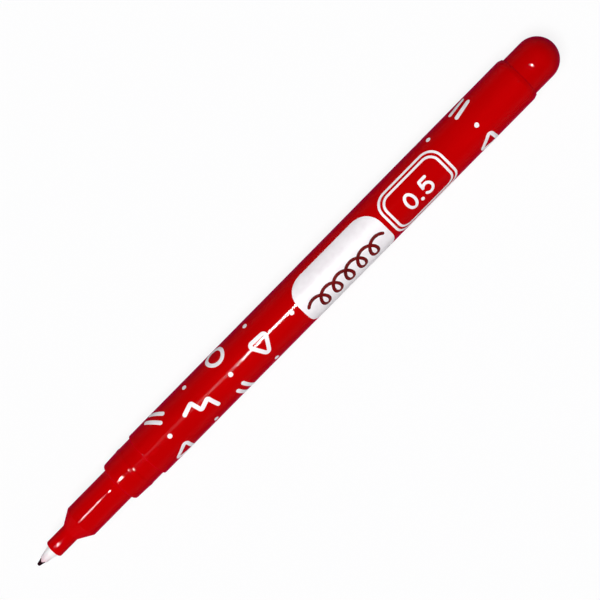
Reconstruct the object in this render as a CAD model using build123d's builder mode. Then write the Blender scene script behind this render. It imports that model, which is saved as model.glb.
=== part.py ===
from build123d import *
import os

os.makedirs("parts", exist_ok=True)

# A fineliner pen lying along X, its writing point towards -X and its domed end towards +X.
# The origin is under the middle of the pen, on the surface it lies on. Sizes are in millimetres.

# Lengths along the pen, from the writing point to the domed end
point_length = 1.4
guard_cone_length = 2.5
nozzle_length = 4.4
shoulder_length = 2.8
grip_length = 9.7
neck_lead_length = 3.6
snap_bead_width = 0.6
cap_seat_length = 2.8
barrel_length = 93.4
plug_land_length = 4.25

# Outside diameters, and the radial steps from the barrel down to the neck, the plug and the grip
barrel_diameter = 9.2
neck_step = 0.35
neck_draft = 0.15
snap_bead_height = 0.06
snap_bead_slope = 0.15
plug_step = 0.525
grip_step = 0.75
nozzle_diameter = 3.5
nib_diameter = 1.2
point_diameter = 0.6

# Rounded and chamfered edges
neck_round = 0.6
barrel_rim_land = 0.06
nozzle_round = 0.4
nozzle_root_round = 0.5
grip_round = 0.4
point_round = 0.25
spigot_chamfer = 0.4
nib_tail_chamfer = 0.2

# Fits, all of them radial gaps
push_fit_gap = 0.03
guard_fit_gap = 0.02
nib_fit_gap = 0.05
reservoir_gap = 0.05
film_gap = 0.03
tube_gap = 0.03

# Barrel inside: the bore, the stop ribs in front of the ink reservoir and the guide ribs beside it
barrel_wall = 0.8
bore_setback = 1.4
stop_rib_length = 1.2
stop_rib_height = 1.1
guide_rib_length = 14.0
guide_rib_height = 0.12
barrel_rib_width = 0.8
barrel_rib_count = 6
rib_root = 0.3

# Nose section inside: the spigot, the socket of the nib guard and the chamber round the nib
nose_seat_step = 0.28
nose_end_gap = 0.6
nose_wall = 0.75
nozzle_wall = 0.55
guard_shank_length = 5.2
web_thickness = 0.8
web_hole_gap = 0.2
chamber_cone_length = 2.2
nib_fin_length = 5.0
nib_fin_setback = 1.0
nib_fin_thickness = 0.6
nib_fin_gap = 0.15
nib_fin_count = 4
guard_mouth_wall = 0.08

# Ink reservoir: fibre core, film wrap with a lapped seam, breather tube in a groove
nib_reach = 8.0
nib_end_gap = 0.5
film_thickness = 0.1
film_lap_width = 2.4
tube_diameter = 1.0
tube_wall = 0.2
reservoir_end_gap = 0.3

# End plug inside: the spigot with its crush ribs, and the cross fins that stop the reservoir
plug_spigot_length = 7.0
plug_spigot_wall = 0.8
plug_cavity_cone_length = 2.4
crush_rib_height = 0.15
crush_rib_width = 0.9
crush_rib_setback = 0.8
crush_rib_count = 8
plug_fin_thickness = 0.7

# Radii worked out from the sizes above
barrel_radius = barrel_diameter / 2
bore_radius = barrel_radius - barrel_wall
stop_rib_radius = bore_radius + (rib_root - stop_rib_height) / 2
guide_rib_radius = bore_radius + (rib_root - guide_rib_height) / 2
neck_radius = barrel_radius - neck_step
neck_front_radius = neck_radius - neck_draft
plug_radius = barrel_radius - plug_step
barrel_front_chamfer = neck_step - barrel_rim_land
barrel_rear_round = plug_step - barrel_rim_land
grip_radius = neck_front_radius - grip_step
nozzle_radius = nozzle_diameter / 2
nib_radius = nib_diameter / 2
nose_spigot_radius = grip_radius - nose_seat_step
neck_bore_radius = nose_spigot_radius + push_fit_gap
chamber_radius = nose_spigot_radius - nose_wall
nib_fin_radius = nib_radius + nib_fin_gap
nib_fin_height = chamber_radius + nose_wall / 2 - nib_fin_radius
guard_socket_radius = nozzle_radius - nozzle_wall
guard_radius = guard_socket_radius - guard_fit_gap
guard_bore_radius = nib_radius + guard_fit_gap
guard_mouth_radius = guard_bore_radius + guard_mouth_wall
web_hole_radius = nib_radius + web_hole_gap
film_lap_radius = bore_radius - guide_rib_height - reservoir_gap
film_radius = film_lap_radius - film_thickness
film_inner_radius = film_radius - film_thickness
core_radius = film_inner_radius - film_gap
tube_radius = tube_diameter / 2
tube_centre = core_radius - tube_radius
plug_fit_radius = bore_radius - push_fit_gap
plug_spigot_radius = plug_fit_radius - crush_rib_height
plug_cavity_radius = plug_spigot_radius - plug_spigot_wall
plug_fin_span = 2 * plug_cavity_radius + plug_spigot_wall

# Stations along X worked out from the lengths above
neck_length = neck_lead_length + snap_bead_width + cap_seat_length
nose_length = nozzle_length + shoulder_length + grip_length
front_length = point_length + guard_cone_length + nose_length + neck_length
overall_length = front_length + barrel_length + plug_land_length + plug_radius
tip_x = -overall_length / 2
guard_mouth_x = tip_x + point_length
nozzle_x = guard_mouth_x + guard_cone_length
shoulder_x = nozzle_x + nozzle_length
grip_x = shoulder_x + shoulder_length
neck_x = grip_x + grip_length
bead_x = neck_x + neck_lead_length
cap_seat_x = bead_x + snap_bead_width
barrel_x = cap_seat_x + cap_seat_length
barrel_end_x = barrel_x + barrel_length
dome_x = barrel_end_x + plug_land_length
guard_end_x = nozzle_x + guard_shank_length
web_end_x = guard_end_x + web_thickness
chamber_x = web_end_x + chamber_cone_length
bore_x = barrel_x + bore_setback
nose_end_x = bore_x - nose_end_gap
nib_fin_x = nose_end_x - nib_fin_setback - nib_fin_length
reservoir_x = bore_x + stop_rib_length
plug_front_x = barrel_end_x - plug_spigot_length
reservoir_end_x = plug_front_x - reservoir_end_gap
reservoir_length = reservoir_end_x - reservoir_x
nib_end_x = reservoir_x + nib_reach

# The pen's axis, the half section that the turned shapes are drawn in, and sections across the pen
pen_axis = Axis((0, 0, barrel_radius), (1, 0, 0))
half_section = Plane(origin=(0, 0, barrel_radius), x_dir=(1, 0, 0), z_dir=(0, -1, 0))


def across(x):
    """The plane square to the pen at station x, looking towards the domed end."""
    return Plane(origin=(x, 0, barrel_radius), x_dir=(0, 1, 0), z_dir=(1, 0, 0))


def ring_edges(part, x, radius):
    """The round edges of a turned part at station x with this radius."""
    rings = part.edges().filter_by(GeomType.CIRCLE)
    return rings.filter_by(
        lambda edge: abs(edge.arc_center.X - x) < 1e-4 and abs(edge.radius - radius) < 1e-4
    )


# Barrel: a tube whose front end steps down to the neck that a cap slides on to
with BuildPart() as barrel:
    with BuildSketch(half_section):
        with BuildLine():
            Polyline(
                (neck_x, neck_bore_radius),
                (neck_x, neck_front_radius),
                (bead_x, neck_radius),
                (bead_x + snap_bead_slope, neck_radius + snap_bead_height),
                (cap_seat_x - snap_bead_slope, neck_radius + snap_bead_height),
                (cap_seat_x, neck_radius),
                (barrel_x, neck_radius),
                (barrel_x, barrel_radius),
                (barrel_end_x, barrel_radius),
                (barrel_end_x, bore_radius),
                (bore_x, bore_radius),
                (bore_x, neck_bore_radius),
                close=True,
            )
        make_face()
    revolve(axis=pen_axis)
    fillet(ring_edges(barrel, neck_x, neck_front_radius), neck_round)
    fillet(ring_edges(barrel, barrel_end_x, barrel_radius), barrel_rear_round)
    chamfer(ring_edges(barrel, barrel_x, barrel_radius), barrel_front_chamfer)

    # Stop ribs that the reservoir's front face bears on, with air channels between them
    with BuildSketch(across(bore_x)):
        with PolarLocations(stop_rib_radius, barrel_rib_count):
            Rectangle(stop_rib_height + rib_root, barrel_rib_width)
    extrude(amount=stop_rib_length)

    # Guide ribs that centre the reservoir's front end
    with BuildSketch(across(bore_x)):
        with PolarLocations(guide_rib_radius, barrel_rib_count):
            Rectangle(guide_rib_height + rib_root, barrel_rib_width)
    extrude(amount=stop_rib_length + guide_rib_length)

# Nose section: nozzle, conical shoulder and grip, with the spigot that pushes into the neck
with BuildPart() as nose_section:
    with BuildSketch(half_section):
        with BuildLine():
            Polyline(
                (nozzle_x, guard_socket_radius),
                (nozzle_x, nozzle_radius),
                (shoulder_x, nozzle_radius),
                (grip_x, grip_radius),
                (neck_x, grip_radius),
                (neck_x, nose_spigot_radius),
                (nose_end_x, nose_spigot_radius),
                (nose_end_x, chamber_radius),
                (chamber_x, chamber_radius),
                (web_end_x, web_hole_radius),
                (guard_end_x, web_hole_radius),
                (guard_end_x, guard_socket_radius),
                close=True,
            )
        make_face()
    revolve(axis=pen_axis)
    fillet(ring_edges(nose_section, nozzle_x, nozzle_radius), nozzle_round)
    fillet(ring_edges(nose_section, shoulder_x, nozzle_radius), nozzle_root_round)
    fillet(ring_edges(nose_section, grip_x, grip_radius), grip_round)
    chamfer(ring_edges(nose_section, nose_end_x, nose_spigot_radius), spigot_chamfer)

    # Fins in the chamber that keep the nib's rod central and let air pass
    with BuildSketch(across(nib_fin_x)):
        with PolarLocations(nib_fin_radius + nib_fin_height / 2, nib_fin_count):
            Rectangle(nib_fin_height, nib_fin_thickness)
    extrude(amount=nib_fin_length)

# Nib guard: the white cone in front of the nozzle and its shank inside it
with BuildPart() as nib_guard:
    with BuildSketch(half_section):
        with BuildLine():
            Polyline(
                (guard_mouth_x, guard_bore_radius),
                (guard_mouth_x, guard_mouth_radius),
                (nozzle_x, guard_radius),
                (guard_end_x, guard_radius),
                (guard_end_x, guard_bore_radius),
                close=True,
            )
        make_face()
    revolve(axis=pen_axis)

# Nib: a fibre rod, tapered to a rounded point in front of the guard and pushed into the reservoir behind
with BuildPart() as nib:
    with BuildSketch(half_section):
        with BuildLine():
            Polyline(
                (tip_x, 0),
                (tip_x, point_diameter / 2),
                (guard_mouth_x, nib_radius),
                (nib_end_x, nib_radius),
                (nib_end_x, 0),
                close=True,
            )
        make_face()
    revolve(axis=pen_axis)
    fillet(ring_edges(nib, tip_x, point_diameter / 2), point_round)
    chamfer(ring_edges(nib, nib_end_x, nib_radius), nib_tail_chamfer)

# Reservoir core: a rod of ink-soaked fibre with an open groove for the breather tube and a hole for the nib
with BuildPart() as reservoir_core:
    with BuildSketch(across(reservoir_x)):
        Circle(core_radius)
        with Locations((0, tube_centre)):
            Circle(tube_radius + tube_gap, mode=Mode.SUBTRACT)
    extrude(amount=reservoir_length)
    with BuildSketch(across(reservoir_x)):
        Circle(nib_radius + nib_fit_gap)
    extrude(amount=nib_reach + nib_end_gap, mode=Mode.SUBTRACT)

# Reservoir film: the wrap round the core, one turn with its edges lapped
with BuildPart() as reservoir_film:
    with BuildSketch(across(reservoir_x)):
        Circle(film_lap_radius)
        with Locations((0, -film_lap_radius)):
            Rectangle(film_lap_width, film_lap_radius, mode=Mode.INTERSECT)
        Circle(film_radius)
        Circle(film_inner_radius, mode=Mode.SUBTRACT)
    extrude(amount=reservoir_length)

# Breather tube: lies in the core's groove, under the film
with BuildPart() as breather_tube:
    with BuildSketch(across(reservoir_x)):
        with Locations((0, tube_centre)):
            Circle(tube_radius)
            Circle(tube_radius - tube_wall, mode=Mode.SUBTRACT)
    extrude(amount=reservoir_length)

# End plug: a hollow dome whose land seats on the barrel's rear rim, with a spigot in the bore
with BuildPart() as end_plug:
    with BuildSketch(half_section):
        with BuildLine():
            Polyline(
                (dome_x, plug_radius),
                (barrel_end_x, plug_radius),
                (barrel_end_x, plug_spigot_radius),
                (plug_front_x, plug_spigot_radius),
                (plug_front_x, plug_cavity_radius),
                (dome_x, plug_cavity_radius),
                (dome_x + plug_cavity_cone_length, 0),
                (dome_x + plug_radius, 0),
            )
            CenterArc((dome_x, 0), plug_radius, 0, 90)
        make_face()
    revolve(axis=pen_axis)
    chamfer(ring_edges(end_plug, plug_front_x, plug_spigot_radius), spigot_chamfer)

    # Crush ribs along the spigot
    with BuildSketch(across(plug_front_x + crush_rib_setback)):
        with PolarLocations(plug_spigot_radius, crush_rib_count):
            Rectangle(plug_spigot_wall, crush_rib_width)
        Circle(plug_fit_radius, mode=Mode.INTERSECT)
    extrude(amount=plug_spigot_length - crush_rib_setback)

    # Cross fins inside the plug, level with the spigot's mouth
    with BuildSketch(across(plug_front_x)):
        Rectangle(plug_fin_span, plug_fin_thickness)
        Rectangle(plug_fin_thickness, plug_fin_span)
    extrude(amount=dome_x - plug_front_x)

pieces = {
    "barrel": barrel,
    "nose_section": nose_section,
    "nib_guard": nib_guard,
    "nib": nib,
    "reservoir_core": reservoir_core,
    "reservoir_film": reservoir_film,
    "breather_tube": breather_tube,
    "end_plug": end_plug,
}
for name, piece in pieces.items():
    piece.part.label = name
    export_step(piece.part, f"parts/{name}.step")
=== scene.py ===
from math import cos, pi, radians, sin

import bpy
import numpy as np
from mathutils import Matrix, Vector


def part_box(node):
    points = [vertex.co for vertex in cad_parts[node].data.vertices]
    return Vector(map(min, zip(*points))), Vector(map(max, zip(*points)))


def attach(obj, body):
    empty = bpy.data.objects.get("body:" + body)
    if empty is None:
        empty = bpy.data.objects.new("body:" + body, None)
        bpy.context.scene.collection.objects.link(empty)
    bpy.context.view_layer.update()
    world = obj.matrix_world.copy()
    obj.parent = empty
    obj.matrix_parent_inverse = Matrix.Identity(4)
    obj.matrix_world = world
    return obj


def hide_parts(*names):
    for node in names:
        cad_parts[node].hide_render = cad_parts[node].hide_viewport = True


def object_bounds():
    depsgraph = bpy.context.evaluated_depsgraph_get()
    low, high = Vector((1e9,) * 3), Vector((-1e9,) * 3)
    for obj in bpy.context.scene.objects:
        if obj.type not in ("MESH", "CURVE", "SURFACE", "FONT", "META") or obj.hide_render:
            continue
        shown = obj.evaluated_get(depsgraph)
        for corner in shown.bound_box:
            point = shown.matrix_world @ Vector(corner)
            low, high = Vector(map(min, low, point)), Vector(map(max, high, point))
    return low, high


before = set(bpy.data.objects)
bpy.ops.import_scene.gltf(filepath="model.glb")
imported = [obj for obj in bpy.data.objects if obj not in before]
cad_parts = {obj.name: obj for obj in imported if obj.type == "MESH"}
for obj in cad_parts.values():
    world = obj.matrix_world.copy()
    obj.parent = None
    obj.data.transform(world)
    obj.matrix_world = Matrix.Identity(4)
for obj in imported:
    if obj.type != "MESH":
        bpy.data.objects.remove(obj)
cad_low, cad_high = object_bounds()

# Shapes are worked out in millimetres, in the frame of the CAD, and put into the meshes in metres.
mm = 0.001


def span(name):
    """The lowest and highest x of a CAD node, in millimetres."""
    low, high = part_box(name)
    return low.x / mm, high.x / mm


# Radii about the pen's axis. The bare barrel is slimmer than the CAD's by the height of the print on it.
axis_z = cad_high.z / mm / 2
print_height = 0.015
print_root = 0.01
barrel_radius = axis_z - print_height
bore_radius = 3.8
neck_radius = 4.25
neck_front_radius = 4.1
neck_bore_radius = 3.1
grip_radius = 3.35
nozzle_radius = 1.75
nose_spigot_radius = 3.07
nib_chamber_radius = 2.32
guard_socket_radius = 1.2
web_hole_radius = 0.8
guard_radius = 1.18
guard_bore_radius = 0.62
nib_radius = 0.6
nib_point_radius = 0.27
plug_radius = 4.075
plug_spigot_radius = 3.62
plug_cavity_radius = 2.82

# Stations along the pen: the ends of the CAD nodes and the steps between them
neck_length = 7.0
neck_floor = 1.4
grip_length = 9.7
cone_length = 2.8
tip_x, nib_end_x = span("nib")
guard_mouth_x, guard_end_x = span("nib_guard")
nozzle_x, nose_end_x = span("nose_section")
neck_x, barrel_end_x = span("barrel")
plug_front_x, dome_end_x = span("end_plug")
barrel_x = neck_x + neck_length
bore_x = barrel_x + neck_floor
grip_x = neck_x - grip_length
shoulder_x = grip_x - cone_length
dome_x = dome_end_x - plug_radius


def rounded(corners, closed=False, steps=8):
    """The line through corners (a, b, round), each cut by an arc that touches both of its sides.

    The arc's centre is on the corner's bisector, round / sin(half the corner's angle) away, and its
    points lie at equal angles between the two touching points."""
    spots = np.array([corner[:2] for corner in corners], float)
    runs = []
    for i, (a, b, radius) in enumerate(corners):
        spot = np.array([a, b], float)
        at_end = not closed and i in (0, len(corners) - 1)
        if radius == 0 or at_end:
            runs.append(spot[None])
            continue
        before = spots[i - 1] - spot
        after = spots[(i + 1) % len(spots)] - spot
        before = before / np.linalg.norm(before)
        after = after / np.linalg.norm(after)
        half = np.arccos(np.clip(before @ after, -1, 1)) / 2
        bisector = (before + after) / np.linalg.norm(before + after)
        centre = spot + bisector * radius / np.sin(half)
        start = spot + before * radius / np.tan(half) - centre
        end = spot + after * radius / np.tan(half) - centre
        turn = pi - 2 * half
        share = np.linspace(0, 1, steps)[:, None]
        arc = (np.sin((1 - share) * turn) * start + np.sin(share * turn) * end) / np.sin(turn)
        runs.append(centre + arc)
    return np.vstack(runs)


def rounded_box(length, width, corner):
    """A rectangle about the origin whose corners have that radius, with its points at equal steps."""
    line = rounded([
        (length / 2, width / 2, corner),
        (-length / 2, width / 2, corner),
        (-length / 2, -width / 2, corner),
        (length / 2, -width / 2, corner),
    ], closed=True, steps=12)
    return evenly(line, closed=True)


def evenly(line, step=0.3, closed=False):
    """The line with its points at equal steps along it, so that it can follow the barrel's round."""
    if closed:
        line = np.vstack([line, line[:1]])
    run = np.concatenate([[0], np.cumsum(np.linalg.norm(np.diff(line, axis=0), axis=1))])
    even = np.linspace(0, run[-1], int(run[-1] / step) + 2)
    line = np.stack([np.interp(even, run, line[:, 0]), np.interp(even, run, line[:, 1])], axis=1)
    return line[:-1] if closed else line


def rotated(line, angle):
    """The flat line turned by an angle in its own plane."""
    return line @ np.array([[cos(angle), sin(angle)], [-sin(angle), cos(angle)]])


def facing_out(points, quads, triangles):
    """A closed shell with its faces turned outwards: its volume, the sum of the corners' triple products
    over all triangles, has to come out positive."""
    cut = np.vstack([quads[:, [0, 1, 2]], quads[:, [0, 2, 3]], triangles])
    a, b, c = points[cut[:, 0]], points[cut[:, 1]], points[cut[:, 2]]
    if np.einsum("ij,ij->", a, np.cross(b, c)) < 0:
        quads, triangles = quads[:, ::-1], triangles[:, ::-1]
    return points, quads, triangles


def skin(grid, first=None, last=None):
    """Faces between the neighbours of a grid of points (row, column), whose columns close on themselves.

    The rows close on themselves too, unless the grid ends in the single points first and last, which
    are joined to their rows by fans of triangles."""
    rows, columns, _ = grid.shape
    points = grid.reshape(-1, 3)
    index = np.arange(rows * columns).reshape(rows, columns)
    lower = index if first is None else index[:-1]
    upper = np.roll(index, -1, axis=0) if first is None else index[1:]
    quads = np.stack([lower, np.roll(lower, -1, 1), np.roll(upper, -1, 1), upper], axis=2).reshape(-1, 4)
    triangles = np.zeros((0, 3), int)
    if first is not None:
        points = np.vstack([points, first, last])
        front = np.stack([np.roll(index[0], -1), index[0], np.full(columns, rows * columns)], axis=1)
        rear = np.stack([index[-1], np.roll(index[-1], -1), np.full(columns, rows * columns + 1)], axis=1)
        triangles = np.vstack([front, rear])
    return facing_out(points, quads, triangles)


def braced(outline, near=0.05):
    """The outline with a point added close to both ends of each long straight run, also the one from its
    last point to its first, so that smooth shading leaves the run straight."""
    after = np.roll(outline, -1, axis=0)
    length = np.linalg.norm(after - outline, axis=1, keepdims=True)
    step = (after - outline) / np.maximum(length, near) * near
    trios = np.stack([outline, outline + step, after - step], axis=1)
    kept = np.ones((len(outline), 3), bool)
    kept[:, 1:] = length > 4 * near
    return trios[kept]


def turned(outline, closed, columns=240):
    """A shape of revolution: the outline's point (x, r) turned by 2 pi j / columns about the pen's axis.

    A closed outline gives a tube with walls. An open one starts and ends on the axis."""
    angle = np.arange(columns) * 2 * pi / columns
    ring = braced(outline) if closed else braced(outline)[1:-1]
    ring = ring[ring[:, 1] > 0]
    x = np.broadcast_to(ring[:, :1], (len(ring), columns))
    grid = np.stack([x, ring[:, 1:] * np.sin(angle), axis_z + ring[:, 1:] * np.cos(angle)], axis=2)
    if closed:
        return skin(grid)
    return skin(grid, [outline[0, 0], 0, axis_z], [outline[-1, 0], 0, axis_z])


def ribs(outline, width, count, turn=0.0):
    """Straight ribs: the four points (x, r) of the outline, half the width to each side of a radial plane,
    repeated at count equal angles round the axis from the angle turn on."""
    angle = turn + np.arange(count) * 2 * pi / count
    outline = np.array(outline, float)
    radial = np.stack([np.sin(angle), np.cos(angle)], axis=1)
    sideways = np.stack([np.cos(angle), -np.sin(angle)], axis=1)
    sides = np.array([-0.5, 0.5]) * width
    outward = radial[:, None, None] * outline[None, None, :, 1:]
    across = outward + sideways[:, None, None] * sides[None, :, None, None]
    x = np.broadcast_to(outline[:, 0], (count, 2, 4))
    points = np.stack([x, across[..., 0], axis_z + across[..., 1]], axis=3).reshape(-1, 3)
    box = np.array([[0, 1, 2, 3], [7, 6, 5, 4], [0, 4, 5, 1], [1, 5, 6, 2], [2, 6, 7, 3], [3, 7, 4, 0]])
    quads = (box[None] + 8 * np.arange(count)[:, None, None]).reshape(-1, 4)
    return facing_out(points, quads, np.zeros((0, 3), int))


def wrapped(s, u, height):
    """Lays a flat drawing on the barrel: s is x, u is arc length from the barrel's top line towards -Y, and
    height stands off the bare plastic, so the angle is u / radius and the distance radius + height."""
    angle = u / barrel_radius
    r = barrel_radius + height
    return np.stack([s, -r * np.sin(angle), axis_z + r * np.cos(angle)], axis=-1)


def patch(centre, outline, rows=6):
    """A filled patch of print: the outline's points scaled from the centre by 1/rows to 1, level on top,
    eased down at the rim and closed by the same rows under the plastic's surface."""
    rim = 0.985
    inside = np.arange(1, rows) / rows
    scale = np.concatenate([inside, [rim, 1.0, 1.0], inside[::-1]])
    height = np.concatenate([np.full(rows, print_height), [print_height / 2], np.full(rows, -print_root)])
    centre = np.array(centre, float)
    s = centre[0] + scale[:, None] * outline[:, 0]
    u = centre[1] + scale[:, None] * outline[:, 1]
    top = wrapped(centre[0], centre[1], print_height)
    bottom = wrapped(centre[0], centre[1], -print_root)
    return skin(wrapped(s, u, height[:, None]), top, bottom)


def stroke(path, width, closed=False, base=0.0):
    """A printed line: a low section with eased edges carried along the path, closed under the plastic and
    raised by the height base of what it is printed on.

    Past each end of an open line the half width follows a half circle, so its ends are round."""
    half = np.full(len(path), width / 2)
    if closed:
        along = np.roll(path, -1, axis=0) - np.roll(path, 1, axis=0)
    else:
        past = width / 2 * np.cos(np.linspace(0, pi / 2, 8)[:-1])
        cap = np.sqrt((width / 2) ** 2 - past ** 2)
        first = path[0] - path[1]
        last = path[-1] - path[-2]
        first = path[0] + past[:, None] * first / np.linalg.norm(first)
        last = path[-1] + past[::-1, None] * last / np.linalg.norm(last)
        path = np.vstack([first, path, last])
        half = np.concatenate([cap, half, cap[::-1]])
        along = np.gradient(path, axis=0)
    along = along / np.linalg.norm(along, axis=1, keepdims=True)
    across = np.array([-1, -1, -0.86, -0.45, 0, 0.45, 0.86, 1, 1])
    edge = [print_height / 2]
    level = np.concatenate([[-print_root], edge, np.full(5, print_height), edge, [-print_root]])
    offset = half[:, None] * across
    s = path[:, :1] - along[:, 1:] * offset
    u = path[:, 1:] + along[:, :1] * offset
    grid = wrapped(s, u, np.broadcast_to(level + base, s.shape))
    if closed:
        return skin(grid)
    return skin(grid[1:-1], wrapped(path[0, 0], path[0, 1], base), wrapped(path[-1, 0], path[-1, 1], base))


def piece(name, shells, material, body, slot, *nodes):
    """One object from closed shells, riding on a body and standing for the CAD nodes named. Edges sharper
    than a rounded corner's steps stay crisp."""
    sharp_angle = radians(32)
    starts = np.cumsum([0] + [len(shell[0]) for shell in shells])
    points = np.vstack([shell[0] for shell in shells]) * mm
    quads = np.vstack([shell[1] + start for shell, start in zip(shells, starts)])
    triangles = np.vstack([shell[2] + start for shell, start in zip(shells, starts)])
    mesh = bpy.data.meshes.new(name)
    mesh.from_pydata(points.tolist(), [], quads.tolist() + triangles.tolist())
    mesh.polygons.foreach_set("use_smooth", np.ones(len(mesh.polygons), bool))
    mesh.set_sharp_from_angle(angle=sharp_angle)
    mesh.materials.append(material)
    made = bpy.data.objects.new(name, mesh)
    bpy.context.scene.collection.objects.link(made)
    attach(made, body)
    if nodes:
        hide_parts(*nodes)


def linear(code):
    """An sRGB hex colour as the linear red, green, blue and alpha that the shaders take."""
    value = np.array([int(code[i:i + 2], 16) for i in (1, 3, 5)]) / 255
    value = np.where(value <= 0.04045, value / 12.92, ((value + 0.055) / 1.055) ** 2.4)
    return (*value.tolist(), 1.0)


def per_metre(size):
    """The texture scale that repeats a pattern every size millimetres."""
    return 1 / (size * mm)


def node(tree, kind, settings=None, links=None):
    """Adds one node. A setting goes to the input of that name or identifier, or else to the property, and
    a link joins an input to another node's output."""
    made = tree.nodes.new(kind)
    for key, value in (settings or {}).items():
        sockets = [socket for socket in made.inputs if key in (socket.identifier, socket.name)]
        if sockets:
            sockets[0].default_value = value
        else:
            setattr(made, key, value)
    for key, output in (links or {}).items():
        socket = next(socket for socket in made.inputs if key in (socket.identifier, socket.name))
        tree.links.new(output, socket)
    return made


def blank_material(name):
    """A new material with an empty node tree."""
    material = bpy.data.materials.new(name)
    material.use_nodes = True
    material.node_tree.nodes.clear()
    return material, material.node_tree


def seen_rays(tree):
    """One for rays that show the surroundings themselves: to the camera, in gloss and through the film."""
    ray = node(tree, "ShaderNodeLightPath")
    seen = node(tree, "ShaderNodeMath", {"operation": "ADD"},
                {"Value": ray.outputs["Is Camera Ray"], "Value_001": ray.outputs["Is Glossy Ray"]})
    seen = node(tree, "ShaderNodeMath", {"operation": "ADD", "use_clamp": True},
                {"Value": seen.outputs["Value"], "Value_001": ray.outputs["Is Transmission Ray"]})
    return seen.outputs["Value"]


def moulded_polypropylene(name, deep, bright, skin_roughness, peel, peel_strength):
    """Injection-moulded red polypropylene.

    The pigment swirls a little with the flow along the mould. The polished skin is a thin clear gloss over
    it that fades at a slant, with a faint crimson bloom there, so the flanks stay deep red in white
    surroundings. A fine orange peel makes the edges of long glints ragged, and handling leaves short dull
    scuffs that break them up."""
    material, tree = blank_material(name)
    place = node(tree, "ShaderNodeTexCoord")
    flow_way = node(tree, "ShaderNodeMapping", {"Scale": (0.22, 1, 1)}, {"Vector": place.outputs["Object"]})
    flow = node(tree, "ShaderNodeTexNoise", {"Scale": per_metre(5), "Detail": 4.0, "Roughness": 0.55},
                {"Vector": flow_way.outputs["Vector"]})
    pigment = node(tree, "ShaderNodeValToRGB", None, {"Fac": flow.outputs["Fac"]})
    pigment.color_ramp.elements[0].position = 0.3
    pigment.color_ramp.elements[0].color = linear(deep)
    pigment.color_ramp.elements[1].position = 0.72
    pigment.color_ramp.elements[1].color = linear(bright)
    grain = node(tree, "ShaderNodeTexNoise", {"Scale": per_metre(peel), "Detail": 2.0},
                 {"Vector": place.outputs["Object"]})
    bump = node(tree, "ShaderNodeBump", {"Strength": peel_strength, "Distance": 0.02 * mm},
                {"Height": grain.outputs["Fac"]})
    scuff_way = node(tree, "ShaderNodeMapping", {"Scale": (0.3, 1, 1), "Rotation": (0.0, 0.35, 0.5)},
                     {"Vector": place.outputs["Object"]})
    scuffs = node(tree, "ShaderNodeTexNoise", {"Scale": per_metre(0.9), "Detail": 5.0, "Roughness": 0.6},
                  {"Vector": scuff_way.outputs["Vector"]})
    skin_gloss = node(tree, "ShaderNodeMapRange",
                      {"From Min": 0.5, "From Max": 0.75, "To Min": 0.1, "To Max": 0.065},
                      {"Value": scuffs.outputs["Fac"]})
    slant = node(tree, "ShaderNodeLayerWeight")
    fade = node(tree, "ShaderNodeMapRange",
                {"From Min": 0.1, "From Max": 0.55, "To Min": 1.0, "To Max": 0.25},
                {"Value": slant.outputs["Facing"]})
    gloss = node(tree, "ShaderNodeMath", {"operation": "MULTIPLY"},
                 {"Value": skin_gloss.outputs["Result"], "Value_001": fade.outputs["Result"]})
    dullness = node(tree, "ShaderNodeMapRange",
                    {"From Min": 0.3, "From Max": 0.75, "To Min": 0.35, "To Max": 0.6},
                    {"Value": scuffs.outputs["Fac"]})
    shader = node(tree, "ShaderNodeBsdfPrincipled",
                  {"IOR": 1.49, "Specular IOR Level": 0.0,
                   "Coat IOR": 1.49, "Coat Roughness": skin_roughness,
                   "Sheen Weight": 0.22, "Sheen Roughness": 0.3, "Sheen Tint": linear("#FF00D2")},
                  {"Base Color": pigment.outputs["Color"], "Roughness": dullness.outputs["Result"],
                   "Normal": bump.outputs["Normal"], "Coat Weight": gloss.outputs["Value"],
                   "Coat Normal": bump.outputs["Normal"]})
    node(tree, "ShaderNodeOutputMaterial", None, {"Surface": shader.outputs["BSDF"]})
    return material


def screen_ink(name, thin, thick, roughness):
    """Screen-printed ink: an opaque film, a little thinner and greyer where the mesh laid less, with the
    faint grain of the plastic and the screen under a dull gloss. The grain is drawn coarser than a screen's
    mesh, about 0.1 mm, so that it shows."""
    material, tree = blank_material(name)
    place = node(tree, "ShaderNodeTexCoord")
    lay = node(tree, "ShaderNodeTexNoise", {"Scale": per_metre(1.6), "Detail": 4.0},
               {"Vector": place.outputs["Object"]})
    film = node(tree, "ShaderNodeValToRGB", None, {"Fac": lay.outputs["Fac"]})
    film.color_ramp.elements[0].position = 0.28
    film.color_ramp.elements[0].color = linear(thin)
    film.color_ramp.elements[1].position = 0.62
    film.color_ramp.elements[1].color = linear(thick)
    grain = node(tree, "ShaderNodeTexNoise", {"Scale": per_metre(0.22), "Detail": 2.0},
                 {"Vector": place.outputs["Object"]})
    bump = node(tree, "ShaderNodeBump", {"Strength": 0.2, "Distance": 0.01 * mm},
                {"Height": grain.outputs["Fac"]})
    dullness = node(tree, "ShaderNodeMapRange", {"To Min": roughness - 0.08, "To Max": roughness + 0.08},
                    {"Value": grain.outputs["Fac"]})
    shader = node(tree, "ShaderNodeBsdfPrincipled", {"IOR": 1.5, "Specular IOR Level": 0.085},
                  {"Base Color": film.outputs["Color"], "Roughness": dullness.outputs["Result"],
                   "Normal": bump.outputs["Normal"]})
    node(tree, "ShaderNodeOutputMaterial", None, {"Surface": shader.outputs["BSDF"]})
    return material


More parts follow.
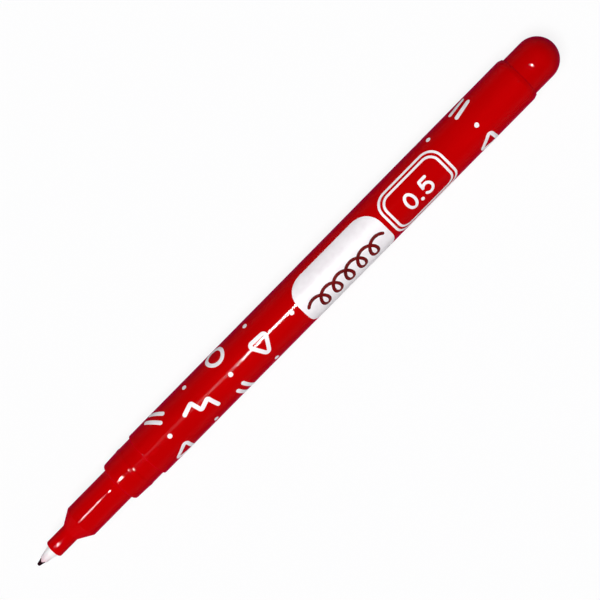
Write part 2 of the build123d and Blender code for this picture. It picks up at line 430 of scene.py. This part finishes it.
def moulded_acetal():
    """Moulded natural acetal: milky white and slightly see-through, tinted by ink that creeps out of the
    mouth along the cone and thins towards the nozzle. A fine brownish line of painted shade runs along
    both sides at the height of the axis, darker on the +Y side."""
    material, tree = blank_material("moulded_acetal")
    place = node(tree, "ShaderNodeTexCoord")
    apart = node(tree, "ShaderNodeSeparateXYZ", None, {"Vector": place.outputs["Object"]})
    creep = node(tree, "ShaderNodeTexNoise", {"Scale": per_metre(0.5), "Detail": 3.0},
                 {"Vector": place.outputs["Object"]})
    reach = node(tree, "ShaderNodeMath", {"operation": "MULTIPLY_ADD", "Value_001": 0.9 * mm},
                 {"Value": creep.outputs["Fac"], "Value_002": apart.outputs["X"]})
    stain = node(tree, "ShaderNodeMapRange",
                 {"From Min": (guard_mouth_x + 0.45) * mm, "From Max": (nozzle_x - 0.3) * mm},
                 {"Value": reach.outputs["Value"]})
    tint = node(tree, "ShaderNodeValToRGB", None, {"Fac": stain.outputs["Result"]})
    tint.color_ramp.elements[0].color = linear("#F0D3DA")
    tint.color_ramp.elements[1].color = linear("#FDF9F9")
    # Painted shade: a fine brownish line along both sides at the height of the axis, darker on the +Y side
    height = node(tree, "ShaderNodeMath", {"operation": "SUBTRACT", "Value_001": axis_z * mm},
                  {"Value": apart.outputs["Z"]})
    off_axis_height = node(tree, "ShaderNodeMath", {"operation": "ABSOLUTE"}, {"Value": height.outputs["Value"]})
    side_shade_band = node(tree, "ShaderNodeMapRange",
                {"From Min": 0.12 * mm, "From Max": 0.4 * mm, "To Min": 1.0, "To Max": 0.0},
                {"Value": off_axis_height.outputs["Value"]})
    side = node(tree, "ShaderNodeMapRange",
                {"From Min": -1 * mm, "From Max": 1 * mm, "To Min": 0.35, "To Max": 0.9},
                {"Value": apart.outputs["Y"]})
    painted_side_shade = node(tree, "ShaderNodeMath", {"operation": "MULTIPLY"},
                 {"Value": side_shade_band.outputs["Result"], "Value_001": side.outputs["Result"]})
    side_shaded = node(tree, "ShaderNodeMix", {"data_type": "RGBA", "B_Color": linear("#5E4448")},
                 {"Factor_Float": painted_side_shade.outputs["Value"], "A_Color": tint.outputs["Color"]})
    bump = node(tree, "ShaderNodeBump", {"Strength": 0.15, "Distance": 0.01 * mm},
                {"Height": creep.outputs["Fac"]})
    shader = node(tree, "ShaderNodeBsdfPrincipled",
                  {"IOR": 1.48, "Roughness": 0.34, "Specular IOR Level": 0.14, "Subsurface Weight": 0.35,
                   "Subsurface Radius": (1.0, 0.7, 0.7), "Subsurface Scale": 0.5 * mm},
                  {"Base Color": side_shaded.outputs[2], "Normal": bump.outputs["Normal"]})
    node(tree, "ShaderNodeOutputMaterial", None, {"Surface": shader.outputs["BSDF"]})
    return material


def bonded_fibre(name, dark, pale, thread, roughness, point=None):
    """Fibres bonded side by side along the pen and wet with ink: fine lengthwise threads on the sides, dots
    on the cut ends, and almost no gloss. The threads are drawn coarser than real fibres, about 0.02 mm, so
    that they show.

    On the nib, ink dries dark on the point, as far back as the x given, and further along the sides. The
    fibre behind it is only tinted, and red again where it stands in the guard."""
    material, tree = blank_material(name)
    place = node(tree, "ShaderNodeTexCoord")
    threads_way = node(tree, "ShaderNodeMapping", {"Scale": (0.03, 1, 1)},
                       {"Vector": place.outputs["Object"]})
    threads = node(tree, "ShaderNodeTexNoise",
                   {"Scale": per_metre(thread), "Detail": 3.0, "Roughness": 0.6},
                   {"Vector": threads_way.outputs["Vector"]})
    ink = node(tree, "ShaderNodeValToRGB", None, {"Fac": threads.outputs["Fac"]})
    ink.color_ramp.elements[0].position = 0.35
    ink.color_ramp.elements[0].color = linear(dark)
    ink.color_ramp.elements[1].position = 0.7
    ink.color_ramp.elements[1].color = linear(pale)
    colour = ink.outputs["Color"]
    if point is not None:
        apart = node(tree, "ShaderNodeSeparateXYZ", None, {"Vector": place.outputs["Object"]})
        aside = node(tree, "ShaderNodeMath", {"operation": "MULTIPLY"},
                     {"Value": apart.outputs["Y"], "Value_001": apart.outputs["Y"]})
        drawn = node(tree, "ShaderNodeMath", {"operation": "MULTIPLY_ADD", "Value_001": -2.0 / mm},
                     {"Value": aside.outputs["Value"], "Value_002": apart.outputs["X"]})
        behind = node(tree, "ShaderNodeMapRange",
                      {"From Min": point * mm, "From Max": (point + 0.2) * mm},
                      {"Value": drawn.outputs["Value"]})
        inside = node(tree, "ShaderNodeMapRange",
                      {"From Min": (guard_mouth_x + 0.2) * mm, "From Max": (guard_mouth_x + 2) * mm},
                      {"Value": apart.outputs["X"]})
        tinted = node(tree, "ShaderNodeMix",
                      {"data_type": "RGBA", "A_Color": linear("#EBC6D0"), "B_Color": linear("#8E1420")},
                      {"Factor_Float": inside.outputs["Result"]})
        nib_colour = node(tree, "ShaderNodeMix", {"data_type": "RGBA"},
                          {"Factor_Float": behind.outputs["Result"], "A_Color": colour,
                           "B_Color": tinted.outputs[2]})
        colour = nib_colour.outputs[2]
    bump = node(tree, "ShaderNodeBump", {"Strength": 0.5, "Distance": 0.03 * mm},
                {"Height": threads.outputs["Fac"]})
    shader = node(tree, "ShaderNodeBsdfPrincipled",
                  {"IOR": 1.4, "Roughness": roughness, "Specular IOR Level": 0.04},
                  {"Base Color": colour, "Normal": bump.outputs["Normal"]})
    node(tree, "ShaderNodeOutputMaterial", None, {"Surface": shader.outputs["BSDF"]})
    return material


def clear_film():
    """Clear polypropylene film: see-through with a soft sheen and faint drawing lines along its length."""
    material, tree = blank_material("clear_polypropylene_film")
    place = node(tree, "ShaderNodeTexCoord")
    lines_way = node(tree, "ShaderNodeMapping", {"Scale": (0.02, 1, 1)},
                     {"Vector": place.outputs["Object"]})
    lines = node(tree, "ShaderNodeTexNoise", {"Scale": per_metre(0.4), "Detail": 2.0},
                 {"Vector": lines_way.outputs["Vector"]})
    dullness = node(tree, "ShaderNodeMapRange", {"To Min": 0.1, "To Max": 0.3},
                    {"Value": lines.outputs["Fac"]})
    shader = node(tree, "ShaderNodeBsdfPrincipled",
                  {"Base Color": linear("#F6E9E9"), "IOR": 1.49, "Transmission Weight": 0.9},
                  {"Roughness": dullness.outputs["Result"]})
    node(tree, "ShaderNodeOutputMaterial", None, {"Surface": shader.outputs["BSDF"]})
    return material


def extruded_polyethylene():
    """Extruded natural polyethylene: waxy, milky and slightly see-through, with fine die lines."""
    material, tree = blank_material("extruded_polyethylene")
    place = node(tree, "ShaderNodeTexCoord")
    lines_way = node(tree, "ShaderNodeMapping", {"Scale": (0.02, 1, 1)},
                     {"Vector": place.outputs["Object"]})
    lines = node(tree, "ShaderNodeTexNoise", {"Scale": per_metre(0.2), "Detail": 2.0},
                 {"Vector": lines_way.outputs["Vector"]})
    wax = node(tree, "ShaderNodeValToRGB", None, {"Fac": lines.outputs["Fac"]})
    wax.color_ramp.elements[0].color = linear("#E2DEDA")
    wax.color_ramp.elements[1].color = linear("#F1EFEA")
    bump = node(tree, "ShaderNodeBump", {"Strength": 0.2, "Distance": 0.02 * mm},
                {"Height": lines.outputs["Fac"]})
    shader = node(tree, "ShaderNodeBsdfPrincipled",
                  {"IOR": 1.51, "Roughness": 0.42, "Subsurface Weight": 0.25,
                   "Subsurface Radius": (1.0, 0.9, 0.85), "Subsurface Scale": 0.4 * mm},
                  {"Base Color": wax.outputs["Color"], "Normal": bump.outputs["Normal"]})
    node(tree, "ShaderNodeOutputMaterial", None, {"Surface": shader.outputs["BSDF"]})
    return material


barrel_plastic = moulded_polypropylene("moulded_polypropylene_barrel", deep="#B90002", bright="#C60003",
                                       skin_roughness=0.07, peel=0.3, peel_strength=0.14)
nose_plastic = moulded_polypropylene("moulded_polypropylene_nose", deep="#BE0003", bright="#C80004",
                                     skin_roughness=0.03, peel=0.6, peel_strength=0.015)
plug_plastic = moulded_polypropylene("moulded_polypropylene_plug", deep="#B40002", bright="#C00003",
                                     skin_roughness=0.03, peel=0.5, peel_strength=0.015)
white_ink = screen_ink("screen_printed_white_ink", thin="#F2ECF0", thick="#FAF6F9", roughness=0.4)
red_ink = screen_ink("screen_printed_red_ink", thin="#5C0306", thick="#74060A", roughness=0.4)
guard_plastic = moulded_acetal()
nib_fibre = bonded_fibre("bonded_nib_fibre", dark="#100006", pale="#2A0310", thread=0.11, roughness=0.55,
                         point=tip_x + 0.9)
ink_fibre = bonded_fibre("inked_polyester_fibre", dark="#7A0A16", pale="#B32A34", thread=0.16,
                         roughness=0.7)
film_plastic = clear_film()
tube_plastic = extruded_polyethylene()

# Barrel: neck with a softened front edge and a low snap bead, printed tube, open rear end, ribs inside.
# A corner of an outline is x, radius and the round of its edge.
bead_x = neck_x + 3.9
bead_height = 0.12
bead_reach = 0.49
rear_edge_length = 0.8
rear_edge_depth = 0.3
barrel_outline = rounded([
    (neck_x, neck_bore_radius, 0.08),
    (neck_x, neck_front_radius, 0.6),
    (bead_x - bead_reach, neck_radius, 0.1),
    (bead_x, neck_radius + bead_height, 1.9),
    (bead_x + bead_reach, neck_radius, 0.1),
    (barrel_x, neck_radius, 0.03),
    (barrel_x, barrel_radius, 0.3),
    (barrel_end_x - rear_edge_length, barrel_radius, 1.6),
    (barrel_end_x, barrel_radius - rear_edge_depth, 0.16),
    (barrel_end_x, bore_radius, 0.1),
    (bore_x, bore_radius, 0.15),
    (bore_x, neck_bore_radius, 0.1),
], closed=True)
rib_front_x = bore_x - 0.1
rib_root_radius = 4.1
rib_width = 0.8
rib_count = 6
rib_turn = pi / 6
stop_rib_radius = 2.7
stop_rib_end_x = bore_x + 1.2
guide_rib_radius = 3.68
guide_rib_end_x = bore_x + 15.2
guide_rib_slope = 0.6
stop_rib = [
    (rib_front_x, stop_rib_radius),
    (rib_front_x, rib_root_radius),
    (stop_rib_end_x, rib_root_radius),
    (stop_rib_end_x, stop_rib_radius),
]
guide_rib = [
    (rib_front_x, guide_rib_radius),
    (rib_front_x, rib_root_radius),
    (guide_rib_end_x, rib_root_radius),
    (guide_rib_end_x - guide_rib_slope, guide_rib_radius),
]
barrel_shells = [
    turned(barrel_outline, closed=True),
    ribs(stop_rib, rib_width, rib_count, rib_turn),
    ribs(guide_rib, rib_width, rib_count, rib_turn),
]
piece("pen_barrel", barrel_shells, barrel_plastic, "barrel", "barrel_plastic", "barrel")

# Nose section: nozzle, cone and grip outside; spigot, nib chamber, web and guard socket inside
spigot_bevel = 0.4
chamber_front_x = grip_x + 1.0
web_end_x = guard_end_x + 0.8
nose_outline = rounded([
    (nozzle_x, guard_socket_radius, 0.05),
    (nozzle_x, nozzle_radius, 0.4),
    (shoulder_x, nozzle_radius, 0.5),
    (grip_x, grip_radius, 0.4),
    (neck_x, grip_radius, 0.06),
    (neck_x, nose_spigot_radius, 0.04),
    (nose_end_x - spigot_bevel, nose_spigot_radius, 0.1),
    (nose_end_x, nose_spigot_radius - spigot_bevel, 0.1),
    (nose_end_x, nib_chamber_radius, 0.08),
    (chamber_front_x, nib_chamber_radius, 0.3),
    (web_end_x, web_hole_radius, 0.1),
    (guard_end_x, web_hole_radius, 0.05),
    (guard_end_x, guard_socket_radius, 0.05),
], closed=True)
nib_fin_radius = 0.75
nib_fin_root_radius = 2.7
nib_fin_front_x = nose_end_x - 6.0
nib_fin_end_x = nose_end_x - 1.0
nib_fin_slope = 0.4
nib_fin = [
    (nib_fin_front_x, nib_fin_radius),
    (nib_fin_front_x, nib_fin_root_radius),
    (nib_fin_end_x, nib_fin_root_radius),
    (nib_fin_end_x - nib_fin_slope, nib_fin_radius),
]
nose_shells = [turned(nose_outline, closed=True), ribs(nib_fin, width=0.6, count=4)]
piece("nose_section_shell", nose_shells, nose_plastic, "nose", "nose_plastic", "nose_section")

# Nib guard: the milky cone in front of the nozzle, with its shank in the socket
guard_lip = 0.08
guard_outline = rounded([
    (guard_mouth_x, guard_bore_radius, 0.02),
    (guard_mouth_x, guard_bore_radius + guard_lip, 0.03),
    (nozzle_x, guard_radius, 0.2),
    (guard_end_x, guard_radius, 0.15),
    (guard_end_x, guard_bore_radius, 0.1),
], closed=True)
guard_shells = [turned(guard_outline, closed=True, columns=160)]
piece("nib_guard_cone", guard_shells, guard_plastic, "nose", "guard_plastic", "nib_guard")

# Nib: fibre rod with a rounded point
nib_bevel = 0.2
nib_outline = rounded([
    (tip_x, 0, 0),
    (tip_x, nib_point_radius, 0.24),
    (guard_mouth_x, nib_radius, 0.8),
    (nib_end_x - nib_bevel, nib_radius, 0.1),
    (nib_end_x, nib_radius - nib_bevel, 0.1),
    (nib_end_x, 0, 0),
])
piece("nib_rod", [turned(nib_outline, closed=False, columns=128)], nib_fibre, "nose", "nib_fibre", "nib")

# End plug: half-round dome with a gate mark, land, spigot with crush ribs, hollow with cross fins
gate_depth = 0.06
gate_radius = 0.3
gate_edge_radius = 0.36
gate = np.array([
    (dome_end_x - gate_depth, 0),
    (dome_end_x - gate_depth, gate_radius),
    (dome_end_x - gate_depth / 2, gate_edge_radius),
])
dome_turn = np.linspace(0.1, pi / 2, 28)
dome = np.stack([dome_x + plug_radius * np.cos(dome_turn), plug_radius * np.sin(dome_turn)], axis=1)
plug_bevel = 0.4
hollow_end_x = dome_x + 2.4
plug_inside = rounded([
    (dome_x, plug_radius, 0),
    (barrel_end_x, plug_radius, 0.05),
    (barrel_end_x, plug_spigot_radius, 0.06),
    (plug_front_x + plug_bevel, plug_spigot_radius, 0.1),
    (plug_front_x, plug_spigot_radius - plug_bevel, 0.1),
    (plug_front_x, plug_cavity_radius, 0.1),
    (dome_x, plug_cavity_radius, 0.5),
    (hollow_end_x, 0, 0),
])
crush_rib_radius = 3.74
crush_rib_root_radius = 3.3
crush_rib_x = plug_front_x + 0.8
crush_rib_slope = 0.8
crush_rib = [
    (crush_rib_x, crush_rib_root_radius),
    (crush_rib_x + crush_rib_slope, crush_rib_radius),
    (barrel_end_x, crush_rib_radius),
    (barrel_end_x, crush_rib_root_radius),
]
cross_fin_reach = 3.2
cross_fin = [
    (plug_front_x, -cross_fin_reach),
    (plug_front_x, cross_fin_reach),
    (dome_x, cross_fin_reach),
    (dome_x, -cross_fin_reach),
]
plug_shells = [
    turned(np.vstack([gate, dome[:-1], plug_inside]), closed=False),
    ribs(crush_rib, width=0.9, count=8),
    ribs(cross_fin, width=0.7, count=1),
    ribs(cross_fin, width=0.7, count=1, turn=pi / 2),
]
piece("end_plug_dome", plug_shells, plug_plastic, "plug", "plug_plastic", "end_plug")

# Print on the barrel: a half-drop repeat of simple signs round a label panel and a boxed line width.
# Places are (s, u) on the unrolled barrel.
around = 2 * pi * barrel_radius
circle_turn = 2 * pi * np.arange(64) / 64
circle = np.stack([np.cos(circle_turn), np.sin(circle_turn)], axis=1)
panel_spot = np.array([11.2, 2.2])
panel_size = np.array([20.6, 11.0])
box_spot = np.array([29.8, 1.8])
box_size = np.array([14.4, 9.2])

# The signs' outlines and lines
arm = 2.1
half_arm = 0.45
plus = evenly(rounded([
    (half_arm, arm, 0.2),
    (-half_arm, arm, 0.2),
    (-half_arm, half_arm, 0.1),
    (-arm, half_arm, 0.2),
    (-arm, -half_arm, 0.2),
    (-half_arm, -half_arm, 0.1),
    (-half_arm, -arm, 0.2),
    (half_arm, -arm, 0.2),
    (half_arm, -half_arm, 0.1),
    (arm, -half_arm, 0.2),
    (arm, half_arm, 0.2),
    (half_arm, half_arm, 0.1),
], closed=True), step=0.1, closed=True)
triangle = evenly(rounded([
    (0, -2.3, 0.5),
    (2.1, 1.3, 0.5),
    (-2.1, 1.3, 0.5),
], closed=True), step=0.15, closed=True)
zigzag = evenly(rounded([
    (-3.1, 0.85, 0),
    (-1.55, -0.85, 0.3),
    (0, 0.85, 0.3),
    (1.55, -0.85, 0.3),
    (3.1, 0.85, 0),
]), step=0.15)
bar = evenly(np.array([(-1.7, 0), (1.7, 0)]))
bar_offset = np.array([0, 0.85])
ring = 1.75 * circle
outline_width = 0.75
line_width = 0.8


def sign(kind, place, angle):
    """The shells of one printed sign, centred at a place on the unrolled barrel."""
    if kind == "plus":
        return [patch(place, rotated(plus, angle))]
    if kind == "ring":
        return [stroke(place + ring, outline_width, closed=True)]
    if kind == "triangle":
        return [stroke(place + rotated(triangle, angle), outline_width, closed=True)]
    if kind == "zigzag":
        return [stroke(place + rotated(zigzag, angle), line_width)]
    return [stroke(place + rotated(bar + side * bar_offset, angle), line_width) for side in (-1, 1)]


def clears(place, margin):
    """True where a place keeps that margin to the panel and the box."""
    to_panel = np.abs(place - panel_spot) - panel_size / 2
    to_box = np.abs(place - box_spot) - box_size / 2
    return min(to_panel.max(), to_box.max()) > margin


# The repeat: each second column drops by half a row, and a dot stands half a row from each sign
sign_kinds = (("zigzag", 0.3), ("plus", 0.4), ("ring", 0.0), ("bars", 0.9), ("triangle", 0.5))
column_count = 11
column_pitch = 7.6
column_turn = 0.2
first_column = -31
row_count = 3
row_shift = 1.44
sign_margin = 2.6
dot_margin = 1.0
dot = 0.45 * circle[::2]
signs = []
for column in range(column_count):
    for row in range(row_count):
        s = first_column + column_pitch * column
        u = (row + 0.5 * (column % 2) - row_shift) * around / row_count
        u = (u + around / 2) % around - around / 2
        kind, angle = sign_kinds[(2 * column + row + 2) % len(sign_kinds)]
        if clears(np.array([s, u]), sign_margin):
            signs += sign(kind, np.array([s, u]), angle + column_turn * column)
        dot_spot = np.array([s, (u + around * 2 / 3) % around - around / 2])
        if clears(dot_spot, dot_margin):
            signs += [patch(dot_spot, dot, rows=3)]
piece("printed_signs", signs, white_ink, "barrel", "barrel_plastic")

panel = patch(panel_spot, rounded_box(*panel_size, corner=4.0), rows=18)
piece("printed_panel", [panel], white_ink, "barrel", "barrel_plastic")

# The boxed line width, 0.5: two lines round an oval, a point, and a five of an angle and a bowl
box_line_width = 0.46
box_gap = 0.9
digit_width = 0.55
digit_reach = 1.4
zero_spot = box_spot + np.array([-2.1, 0])
zero = circle * np.array([0.9, digit_reach])
decimal_spot = box_spot + np.array([-0.3, 1.35])
decimal_point = 0.36 * circle
five_spot = box_spot + np.array([1.7, 0])
five_top = evenly(rounded([
    (0.85, -digit_reach, 0),
    (-0.62, -digit_reach, 0.1),
    (-0.78, -0.12, 0),
], steps=6), step=0.15)
bowl_radius = 0.95
bowl_turn = np.radians(np.linspace(-55, 232, 30))
five_bowl = bowl_radius * np.stack([np.sin(bowl_turn), -np.cos(bowl_turn)], axis=1)
five_bowl = five_bowl + np.array([0, digit_reach - bowl_radius])
line_width_shells = [
    stroke(box_spot + rounded_box(*box_size, corner=2.8), box_line_width, closed=True),
    stroke(box_spot + rounded_box(*(box_size - 2 * box_gap), corner=2.0), box_line_width, closed=True),
    stroke(zero_spot + zero, digit_width, closed=True),
    patch(decimal_spot, decimal_point, rows=3),
    stroke(five_spot + five_top, digit_width),
    stroke(five_spot + five_bowl, digit_width),
]
piece("printed_line_width", line_width_shells, white_ink, "barrel", "barrel_plastic")

# A sample of the pen's own line on the panel: a row of written loops, the path of a point that goes round
# an oval while the oval moves on along the panel
loop_turn = np.linspace(-5.3 * pi, 5.3 * pi, 260)
loop_advance = 0.48
loop_length = 1.4
loop_height = 1.5
loop_drop = 0.9
loop_width = 0.64
loop_s = loop_advance * loop_turn - loop_length * np.sin(loop_turn)
loop_u = loop_drop + loop_height * np.cos(loop_turn)
loops = stroke(panel_spot + np.stack([loop_s, loop_u], axis=1), loop_width, base=0.6 * print_height)
piece("printed_line_sample", [loops], red_ink, "barrel", "barrel_plastic")

# The pieces inside keep their CAD shapes
inner_materials = (
    ("reservoir_core", ink_fibre),
    ("reservoir_film", film_plastic),
    ("breather_tube", tube_plastic),
)
for name, material in inner_materials:
    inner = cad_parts[name]
    inner.data.materials.clear()
    inner.data.materials.append(material)

# Floor: matt card. Rays that show it see mostly an even white, so that the pen's shadow stays faint.
floor_reach = 5
floor_corners = [(x * floor_reach, y * floor_reach, 0) for x, y in ((-1, -1), (1, -1), (1, 1), (-1, 1))]
floor_mesh = bpy.data.meshes.new("floor")
floor_mesh.from_pydata(floor_corners, [], [(0, 1, 2, 3)])
floor = bpy.data.objects.new("floor", floor_mesh)
bpy.context.scene.collection.objects.link(floor)
card, card_tree = blank_material("matt_card")
card_matt = node(card_tree, "ShaderNodeBsdfDiffuse", {"Color": linear("#B4B4B6")})
card_white = node(card_tree, "ShaderNodeEmission", {"Strength": 1.2})
card_share = node(card_tree, "ShaderNodeMath", {"operation": "MULTIPLY", "Value_001": 0.71},
                  {"Value": seen_rays(card_tree)})
card_mix = node(card_tree, "ShaderNodeMixShader", None,
                {"Fac": card_share.outputs["Value"], "Shader": card_matt.outputs["BSDF"],
                 "Shader_001": card_white.outputs["Emission"]})
node(card_tree, "ShaderNodeOutputMaterial", None, {"Surface": card_mix.outputs["Shader"]})
floor_mesh.materials.append(card)

# World: a soft window on the -Y side fills the shade. What is seen of it directly, in gloss and through
# the film is a white horizon under a dark ceiling.
world = bpy.data.worlds.new("studio")
bpy.context.scene.world = world
world.use_nodes = True
studio = world.node_tree
studio.nodes.clear()
sky_way = node(studio, "ShaderNodeTexCoord")
sky_apart = node(studio, "ShaderNodeSeparateXYZ", None, {"Vector": sky_way.outputs["Generated"]})
window = node(studio, "ShaderNodeMapRange", {"From Min": -1.0, "To Min": 0.12, "To Max": 0.0},
              {"Value": sky_apart.outputs["Y"]})
backdrop = node(studio, "ShaderNodeMapRange",
                {"From Min": 0.03, "From Max": 0.5, "To Min": 1.0, "To Max": 0.04},
                {"Value": sky_apart.outputs["Z"]})
level = node(studio, "ShaderNodeMix", None,
             {"Factor_Float": seen_rays(studio), "A_Float": window.outputs["Result"],
              "B_Float": backdrop.outputs["Result"]})
sky = node(studio, "ShaderNodeBackground", {"Color": (0.98, 0.96, 1.0, 1.0)},
           {"Strength": level.outputs[0]})
node(studio, "ShaderNodeOutputWorld", None, {"Surface": sky.outputs["Background"]})

# Key light: a distant soft lamp from above, a little from the writing point's end and from the -Y side
key_lamp = bpy.data.lights.new("key_light", "SUN")
key_lamp.energy = 3.14
key_lamp.angle = radians(30)
key_light = bpy.data.objects.new("key_light", key_lamp)
key_light.rotation_euler = (radians(5), radians(-17), 0)
key_light.visible_glossy = False
bpy.context.scene.collection.objects.link(key_light)


def strip_light(name, place, size, brightness, slant=0):
    """A flat lamp that faces down and shows only as a glint in gloss: its place in millimetres, its size
    along and across the pen, how bright its face is, and by how many degrees it is turned about Z."""
    lamp = bpy.data.lights.new(name, "AREA")
    lamp.shape = "RECTANGLE"
    lamp.size = size[0] * mm
    lamp.size_y = size[1] * mm
    lamp.energy = brightness * pi * lamp.size * lamp.size_y
    made = bpy.data.objects.new(name, lamp)
    made.location = Vector(place) * mm
    made.rotation_euler = (0, 0, radians(slant))
    made.visible_diffuse = False
    made.visible_camera = False
    bpy.context.scene.collection.objects.link(made)


# Glints: each lamp stands where the gloss mirrors it into the camera. A line lamp is fainter than the
# glint lamp that it overlaps, and 1 mm higher, because in one plane the two would hide each other.
strip_light("nozzle_line", (-71.3, 3.5, 60), (2.9, 8), brightness=8)
strip_light("nozzle_glint", (-71.4, 3.5, 59), (0.6, 24), brightness=330, slant=0.9)
strip_light("grip_line", (-61, 7.7, 60), (8.1, 8), brightness=28)
strip_light("grip_glint", (-60.9, 7.6, 59), (5.7, 8), brightness=125)
strip_light("grip_spot", (-46.9, 1.0, 14), (0.8, 0.9), brightness=330)
strip_light("neck_glint", (-44, 1.1, 14), (1.1, 1.1), brightness=500)
strip_light("front_glint", (-48.8, 5.4, 140), (22, 26), brightness=4.2, slant=-40)
strip_light("middle_glint", (-32.8, -6.5, 140), (16, 22), brightness=19.6, slant=-22)
strip_light("bright_glint", (-15.4, -9.9, 140), (21, 24), brightness=380, slant=-4)
strip_light("rear_glint", (6, -10.2, 140), (22, 24), brightness=77)
strip_light("plug_glint", (64.5, -1, 60), (0.2, 30), brightness=360, slant=0.5)

# Camera: a long lens above the pen, turned by 45.4 degrees and leaning 3.2 degrees towards the domed end
image_width = 600
focal_pixels = 2000
camera_lean = 0.0566
camera_turn = -0.7925
camera_distance = 352.5 * mm
target = Vector((1.722, -0.054, axis_z)) * mm
camera_data = bpy.data.cameras.new("camera")
camera_data.sensor_width = 36
camera_data.lens = camera_data.sensor_width * focal_pixels / image_width
camera = bpy.data.objects.new("camera", camera_data)
camera.matrix_world = (
    Matrix.Translation(target + Vector((sin(camera_lean), 0, cos(camera_lean))) * camera_distance)
    @ Matrix.Rotation(camera_lean, 4, "Y")
    @ Matrix.Rotation(camera_turn, 4, "Z")
)
bpy.context.scene.collection.objects.link(camera)
bpy.context.scene.camera = camera
bpy.context.scene.view_settings.view_transform = "Standard"
